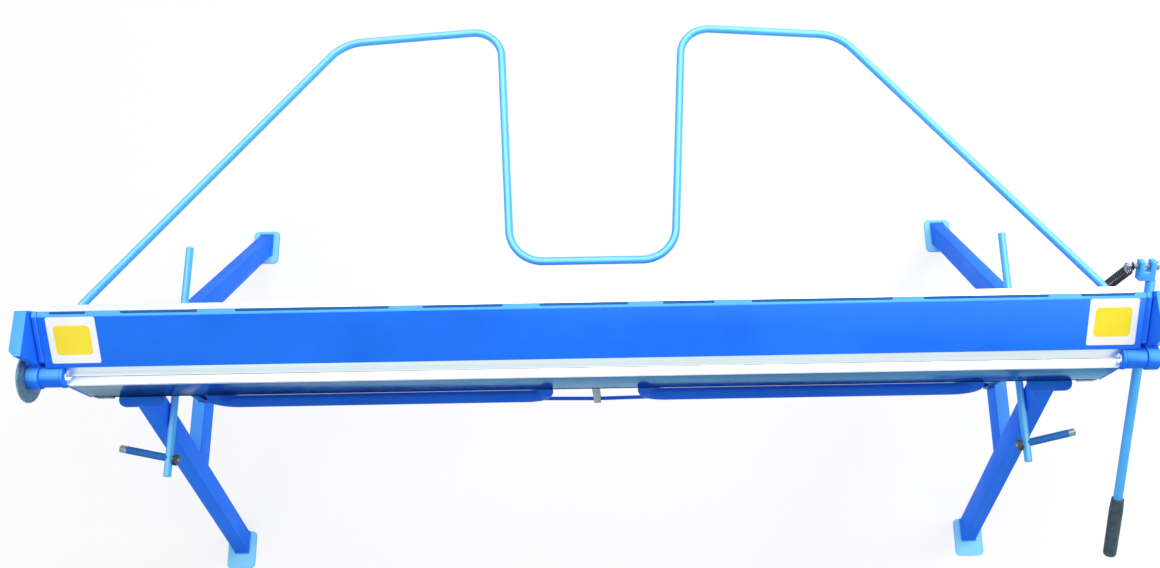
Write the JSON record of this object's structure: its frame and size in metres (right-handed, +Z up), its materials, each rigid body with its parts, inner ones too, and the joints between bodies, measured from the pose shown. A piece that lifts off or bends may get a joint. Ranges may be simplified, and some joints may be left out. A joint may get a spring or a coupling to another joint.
{
  "type": "sheet metal brake",
  "caption": "Folding brake on leg frames: clamping beam over a table, swinging folding beam with grab handles, eccentric clamp lever, rear sheet support.",
  "frame": {"origin": "on the floor, in the middle of the machine's box seen from above", "axes": "+X along the bend line towards the clamping lever, +Y to the rear where the sheet support is, +Z up"},
  "size_m": [2.2359, 1.1025, 0.945],
  "materials": {
    "blue_paint": "satin bright blue paint",
    "pale_blue_paint": "satin light blue paint",
    "bare_steel": "bare ground steel",
    "dark_steel": "blackened steel",
    "grey_steel": "grey steel",
    "bronze": "turned bronze",
    "grip_rubber": "ribbed dark grip",
    "spring_steel": "black spring wire"
  },
  "bodies": {
    "stand": {"angle_disc": "grey_steel", "carry_bar_left": "pale_blue_paint", "carry_bar_right": "pale_blue_paint", "carry_peg_left": "pale_blue_paint", "carry_peg_right": "pale_blue_paint", "clamp_spring": "spring_steel", "crossbar_left": "blue_paint", "crossbar_right": "blue_paint", "end_cheek_left": "blue_paint", "end_cheek_right": "blue_paint", "front_foot_left": "blue_paint", "front_foot_right": "blue_paint", "front_leg_left": "blue_paint", "front_leg_right": "blue_paint", "guide_pin_left": "bare_steel", "guide_pin_right": "bare_steel", "hinge_bush_left": "bronze", "hinge_bush_right": "bronze", "lower_beam": "blue_paint", "peg_nut_left": "dark_steel", "peg_nut_right": "dark_steel", "rear_foot_left": "blue_paint", "rear_foot_right": "blue_paint", "rear_leg_left": "blue_paint", "rear_leg_right": "blue_paint", "saddle_plate_left": "blue_paint", "saddle_plate_right": "blue_paint", "shaft_bush_left": "bronze", "shaft_bush_right": "bronze", "sheet_support": "pale_blue_paint", "spring_strap": "blue_paint", "support_flange_left": "blue_paint", "support_flange_right": "blue_paint", "table_plate": "bare_steel"},
    "clamping_beam": {"clamp_beam": "blue_paint", "clamp_blade": "bare_steel", "clamp_arm_left": "blue_paint", "clamp_arm_right": "blue_paint"},
    "clamp_drive": {"cross_shaft": "bare_steel", "eccentric_left": "grey_steel", "eccentric_right": "grey_steel", "clamp_lever": "pale_blue_paint", "lever_grip": "grip_rubber", "lever_fork": "pale_blue_paint", "spring_bolt": "grey_steel"},
    "folding_beam": {"fold_beam": "bare_steel", "fold_blade": "bare_steel", "fold_end_left": "pale_blue_paint", "fold_end_right": "pale_blue_paint", "hinge_pin_left": "bare_steel", "hinge_pin_right": "bare_steel", "grab_handle_left": "blue_paint", "grab_handle_right": "blue_paint", "truss_rod": "blue_paint", "truss_post": "grey_steel", "angle_pointer": "grey_steel", "pointer_nut": "dark_steel"}
  },
  "joints": [
    {"name": "fold_swing", "type": "hinge", "parent": "stand", "child": "folding_beam", "pos_m": [0, -0.19917, 0.85], "axis": [-1, 0, 0], "range_deg": [0, 135]},
    {"name": "lever_turn", "type": "hinge", "parent": "stand", "child": "clamp_drive", "pos_m": [0, -0.10917, 0.8033], "axis": [-1, 0, 0], "range_deg": [0, 80], "deforming": ["clamp_spring"]},
    {"name": "clamp_lift", "type": "slide", "parent": "stand", "child": "clamping_beam", "axis": [0, 0, 1], "range_m": [0, 0.0258]}
  ],
  "couplings": [
    {"joint": "clamp_lift", "follows": "lever_turn", "m_per_rad": 0.018415}
  ]
}
